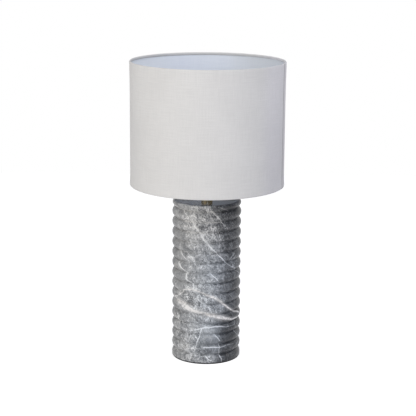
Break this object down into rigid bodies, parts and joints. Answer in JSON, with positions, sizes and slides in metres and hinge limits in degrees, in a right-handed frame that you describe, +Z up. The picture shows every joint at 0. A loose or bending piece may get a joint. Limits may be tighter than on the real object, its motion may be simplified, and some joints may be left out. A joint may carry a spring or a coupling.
{
  "type": "column table lamp",
  "caption": "Table lamp with a ribbed grey marble column, a short brass neck and a drum shade of pale linen.",
  "frame": {"origin": "centre of the foot pad's underside, which is the bottom centre of the bounding box", "axes": "+Z up along the column, +Y to the back, where the cord outlet is, +X to the lamp's right as the picture shows it, so the picture looks along +Y"},
  "size_m": [0.3, 0.3, 0.5865],
  "materials": {
    "marble": "polished",
    "felt": "matte",
    "zinc_steel": "satin",
    "bush_plastic": "matte",
    "block_plastic": "satin",
    "contact_brass": "satin",
    "brown_insulation": "satin",
    "blue_insulation": "satin",
    "green_yellow_insulation": "satin",
    "neck_brass": "satin",
    "holder_black": "satin",
    "porcelain": "gloss",
    "white_coated_steel": "satin",
    "lining_sheet": "satin",
    "linen": "matte",
    "cap_metal": "satin",
    "black_glass": "gloss",
    "opal_glass": "satin",
    "clear_glass": "gloss",
    "phosphor": "matte"
  },
  "bodies": {
    "stand": {"foot_pad": "felt", "stone_column": "marble", "clamp_plate": "zinc_steel", "lock_washer": "zinc_steel", "base_nut": "zinc_steel", "threaded_rod": "zinc_steel", "column_washer": "zinc_steel", "column_nut": "zinc_steel", "cord_outlet_bush": "bush_plastic", "terminal_block": "block_plastic", "block_inserts": "contact_brass", "block_screws": "zinc_steel", "live_wire": "brown_insulation", "neutral_wire": "blue_insulation", "earth_wire": "green_yellow_insulation", "earth_screw": "contact_brass", "neck_tube": "neck_brass", "neck_collar": "neck_brass", "holder_cap": "holder_black", "cap_grub_screw": "zinc_steel", "holder_core": "porcelain", "live_terminal": "contact_brass", "neutral_terminal": "contact_brass", "live_terminal_screw": "zinc_steel", "neutral_terminal_screw": "zinc_steel", "centre_contact": "contact_brass", "thread_sleeve": "contact_brass", "holder_shell": "holder_black", "lower_shade_ring": "holder_black"},
    "clamp_ring": {"upper_shade_ring": "holder_black"},
    "shade": {"spider_hub": "white_coated_steel", "spider_arm_1": "white_coated_steel", "spider_arm_2": "white_coated_steel", "spider_arm_3": "white_coated_steel", "bottom_hoop": "white_coated_steel", "top_hoop": "white_coated_steel", "shade_lining": "lining_sheet", "shade_fabric": "linen"},
    "bulb_cap": {"bulb_cap": "cap_metal", "bulb_insulator": "black_glass", "bulb_contact": "contact_brass"},
    "bulb_glass": {"bulb_glass": "opal_glass", "bulb_stem": "clear_glass", "led_filaments": "phosphor"}
  },
  "joints": [
    {"name": "shade_turn", "type": "hinge", "parent": "stand", "child": "shade", "pos_m": [0, 0, 0.393], "axis": [0, 0, 1], "continuous": true},
    {"name": "clamp_ring_turn", "type": "hinge", "parent": "stand", "child": "clamp_ring", "pos_m": [0, 0, 0.398], "axis": [0, 0, 1], "range_deg": [0, 1080]},
    {"name": "bulb_rise", "type": "slide", "parent": "stand", "child": "bulb_cap", "axis": [0, 0, 1], "range_m": [0, 0.01452]},
    {"name": "bulb_turn", "type": "hinge", "parent": "bulb_cap", "child": "bulb_glass", "pos_m": [0, 0, 0.411], "axis": [0, 0, 1], "range_deg": [0, 1440]}
  ],
  "couplings": [
    {"joint": "bulb_rise", "follows": "bulb_turn", "m_per_rad": 0.00057757}
  ]
}
